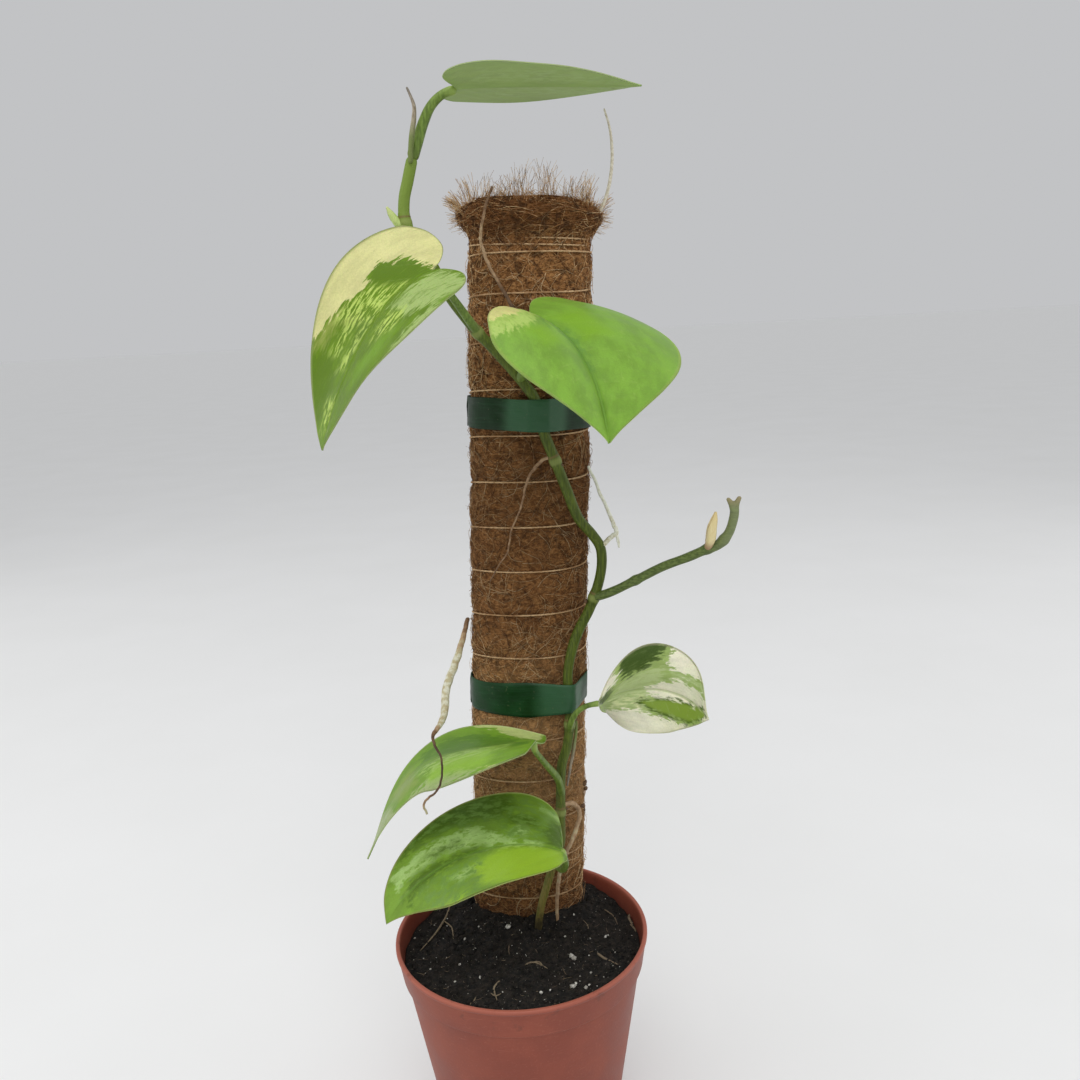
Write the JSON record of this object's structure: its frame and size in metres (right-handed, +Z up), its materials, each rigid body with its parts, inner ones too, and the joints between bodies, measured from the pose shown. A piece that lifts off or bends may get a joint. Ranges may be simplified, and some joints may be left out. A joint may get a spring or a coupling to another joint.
{
  "type": "potted pothos",
  "caption": "Young climbing pothos with marbled heart-shaped leaves, tied to a cord-wound coir pole in a small tapered plastic nursery pot filled with soil.",
  "frame": {"origin": "centre of the pot's base, on the surface that it stands on", "axes": "+Z up, -Y towards the plant's front, where the vine climbs the pole, +X to its right"},
  "size_m": [0.1779, 0.141, 0.4891],
  "materials": {
    "pot_plastic": "satin",
    "soil": "matte",
    "lath_wood": "matte",
    "coir": "matte",
    "cord": "matte",
    "tape": "satin",
    "stem": "satin",
    "stalk": "satin",
    "leaf": "satin",
    "bud": "matte",
    "husk": "matte",
    "root": "matte"
  },
  "bodies": {
    "root": {"pot": "pot_plastic", "soil": "soil", "pole_lath": "lath_wood", "coir_sleeve": "coir", "winding_cord": "cord", "tape_band_upper": "tape", "tape_band_lower": "tape", "main_stem": "stem", "side_shoot": "stem", "shoot_bud": "bud", "axil_bud": "stalk", "leaf_top": "leaf", "petiole_top": "stalk", "leaf_upper_left": "leaf", "petiole_upper_left": "stalk", "leaf_upper_right": "leaf", "petiole_upper_right": "stalk", "leaf_small_right": "leaf", "petiole_small_right": "stalk", "leaf_narrow": "leaf", "petiole_narrow": "stalk", "leaf_bottom": "leaf", "petiole_bottom": "stalk", "dry_sheath_top": "husk", "dry_sheath_low": "husk", "aerial_root_left": "root", "aerial_root_right": "root", "aerial_root_middle": "root", "aerial_root_top": "root", "aerial_root_low": "root"}
  },
  "joints": []
}
